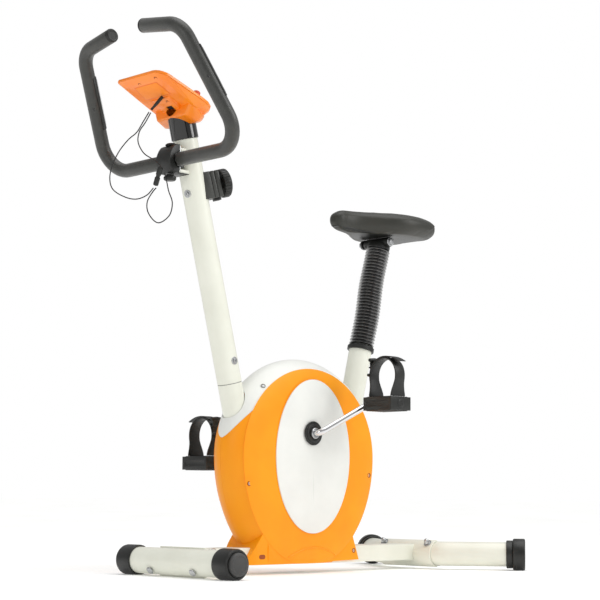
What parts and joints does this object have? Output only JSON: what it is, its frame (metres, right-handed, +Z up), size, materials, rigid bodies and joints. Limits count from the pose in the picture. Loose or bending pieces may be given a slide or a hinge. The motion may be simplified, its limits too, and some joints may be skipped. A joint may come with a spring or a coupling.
{
  "type": "exercise bike",
  "caption": "Upright exercise bike with a belt-driven magnetic flywheel in a drum casing, looped foam handlebar, tilted console, padded saddle on a height-adjustable post and strapped pedals.",
  "frame": {"origin": "floor level under the middle of the bike's box", "axes": "-X is the way the rider faces, +Y is the rider's right, +Z is up"},
  "size_m": [1.003, 0.5138, 1.1023],
  "materials": {
    "frame_paint": "satin white paint",
    "casing_orange": "satin orange moulding",
    "casing_white": "satin white moulding",
    "console_orange": "satin orange moulding",
    "button_red": "satin red-orange moulding",
    "screen_dark": "gloss",
    "black_plastic": "satin",
    "black_gloss": "gloss",
    "black_rubber": "matt",
    "grip_foam": "matt foam",
    "saddle_vinyl": "satin grained vinyl",
    "chrome": "polished",
    "steel_zinc": "zinc plated",
    "iron": "as cast",
    "lead_black": "smooth"
  },
  "bodies": {
    "frame": {"base_frame": "frame_paint", "post_stub": "frame_paint", "crank_frame": "frame_paint", "seat_tube": "frame_paint", "front_foot_tube": "frame_paint", "rear_foot_tube": "frame_paint", "front_post": "frame_paint", "left_cover": "casing_orange", "right_cover": "casing_orange", "left_oval_panel": "casing_white", "right_oval_panel": "casing_white", "top_cover": "casing_white", "console_back": "console_orange", "console_face": "console_orange", "console_screen": "screen_dark", "front_left_cap": "black_plastic", "front_right_cap": "black_plastic", "handlebar_clamp_cover": "black_plastic", "tension_bracket": "black_plastic", "sensor_plug": "black_plastic", "lead_connector": "black_plastic", "console_stem": "black_gloss", "drive_belt": "black_rubber", "seat_bellows": "black_rubber", "front_left_bolt": "steel_zinc", "front_right_bolt": "steel_zinc", "rear_left_bolt": "steel_zinc", "rear_right_bolt": "steel_zinc", "flywheel_axle": "steel_zinc", "flywheel_cradle": "steel_zinc", "sensor_lead_long": "lead_black", "sensor_lead_short": "lead_black", "sensor_lead_loop": "lead_black"},
    "crank": {"crank_bar": "chrome", "drive_pulley": "black_plastic", "left_hub_disc": "black_plastic", "right_hub_disc": "black_plastic"},
    "left_pedal_body": {"left_pedal": "black_plastic", "left_pedal_strap": "black_rubber"},
    "right_pedal_body": {"right_pedal": "black_plastic", "right_pedal_strap": "black_rubber"},
    "flywheel_body": {"flywheel": "iron"},
    "handlebar": {"handlebar_tube": "steel_zinc", "left_foam_grip": "grip_foam", "right_foam_grip": "grip_foam", "left_grip_plug": "black_plastic", "right_grip_plug": "black_plastic", "left_pulse_sensor": "chrome", "right_pulse_sensor": "chrome"},
    "clamp_knob": {"handlebar_clamp_knob": "black_plastic"},
    "tension_dial": {"tension_knob": "black_plastic"},
    "magnet": {"magnet_arm": "iron"},
    "start_button": {"console_button": "button_red"},
    "seat": {"seat_post": "chrome", "saddle_clamp": "black_plastic", "saddle_clamp_bolt": "steel_zinc"},
    "saddle": {"saddle_pan": "black_plastic", "saddle_cushion": "saddle_vinyl"},
    "rear_left_foot_cap": {"rear_left_levelling_cap": "black_plastic"},
    "rear_right_foot_cap": {"rear_right_levelling_cap": "black_plastic"}
  },
  "joints": [
    {"name": "flywheel_spin", "type": "hinge", "parent": "frame", "child": "flywheel_body", "pos_m": [-0.0169, 0, 0.148], "axis": [0, -1, 0], "continuous": true},
    {"name": "crank_spin", "type": "hinge", "parent": "frame", "child": "crank", "pos_m": [-0.0129, 0, 0.2945], "axis": [0, -1, 0], "continuous": true},
    {"name": "left_pedal_spin", "type": "hinge", "parent": "crank", "child": "left_pedal_body", "pos_m": [0.09676, -0.16, 0.35756], "axis": [0, -1, 0], "continuous": true},
    {"name": "right_pedal_spin", "type": "hinge", "parent": "crank", "child": "right_pedal_body", "pos_m": [-0.12256, 0.16, 0.23144], "axis": [0, -1, 0], "continuous": true},
    {"name": "handlebar_tilt", "type": "hinge", "parent": "frame", "child": "handlebar", "pos_m": [-0.3631, 0, 0.8405], "axis": [0, 1, 0], "range_deg": [-15, 20]},
    {"name": "clamp_knob_turn", "type": "hinge", "parent": "frame", "child": "clamp_knob", "pos_m": [-0.3711, 0, 0.803], "axis": [0, 0, -1], "range_deg": [0, 720]},
    {"name": "tension_dial_turn", "type": "hinge", "parent": "frame", "child": "tension_dial", "pos_m": [-0.26988, -0.01323, 0.80014], "axis": [0.909, -0.3309, 0.2534], "range_deg": [0, 288]},
    {"name": "magnet_arm_swing", "type": "hinge", "parent": "frame", "child": "magnet", "pos_m": [-0.0909, 0.023, 0.25], "axis": [0, 1, 0], "range_deg": [0, 8.2]},
    {"name": "start_button_press", "type": "slide", "parent": "frame", "child": "start_button", "axis": [-0.342, 0, -0.9397], "range_m": [0, 0.002], "stiffness_N_per_m": 400, "springref_m": -0.001},
    {"name": "seat_height", "type": "slide", "parent": "frame", "child": "seat", "axis": [0.2389, 0, 0.971], "range_m": [-0.1, 0.03], "deforming": ["seat_bellows"]},
    {"name": "saddle_tilt", "type": "hinge", "parent": "seat", "child": "saddle", "pos_m": [0.25093, 0, 0.738], "axis": [0, 1, 0], "range_deg": [-8, 8]},
    {"name": "rear_left_cap_turn", "type": "hinge", "parent": "frame", "child": "rear_left_foot_cap", "pos_m": [0.46284, -0.2212, 0.035], "axis": [0.6128, -0.7902, 0], "range_deg": [-90, 90]},
    {"name": "rear_right_cap_turn", "type": "hinge", "parent": "frame", "child": "rear_right_foot_cap", "pos_m": [0.46284, 0.2212, 0.035], "axis": [0.6128, 0.7902, 0], "range_deg": [-90, 90]}
  ],
  "couplings": [
    {"joint": "crank_spin", "follows": "flywheel_spin", "ratio": 0.125},
    {"joint": "magnet_arm_swing", "follows": "tension_dial_turn", "ratio": 0.027778}
  ]
}
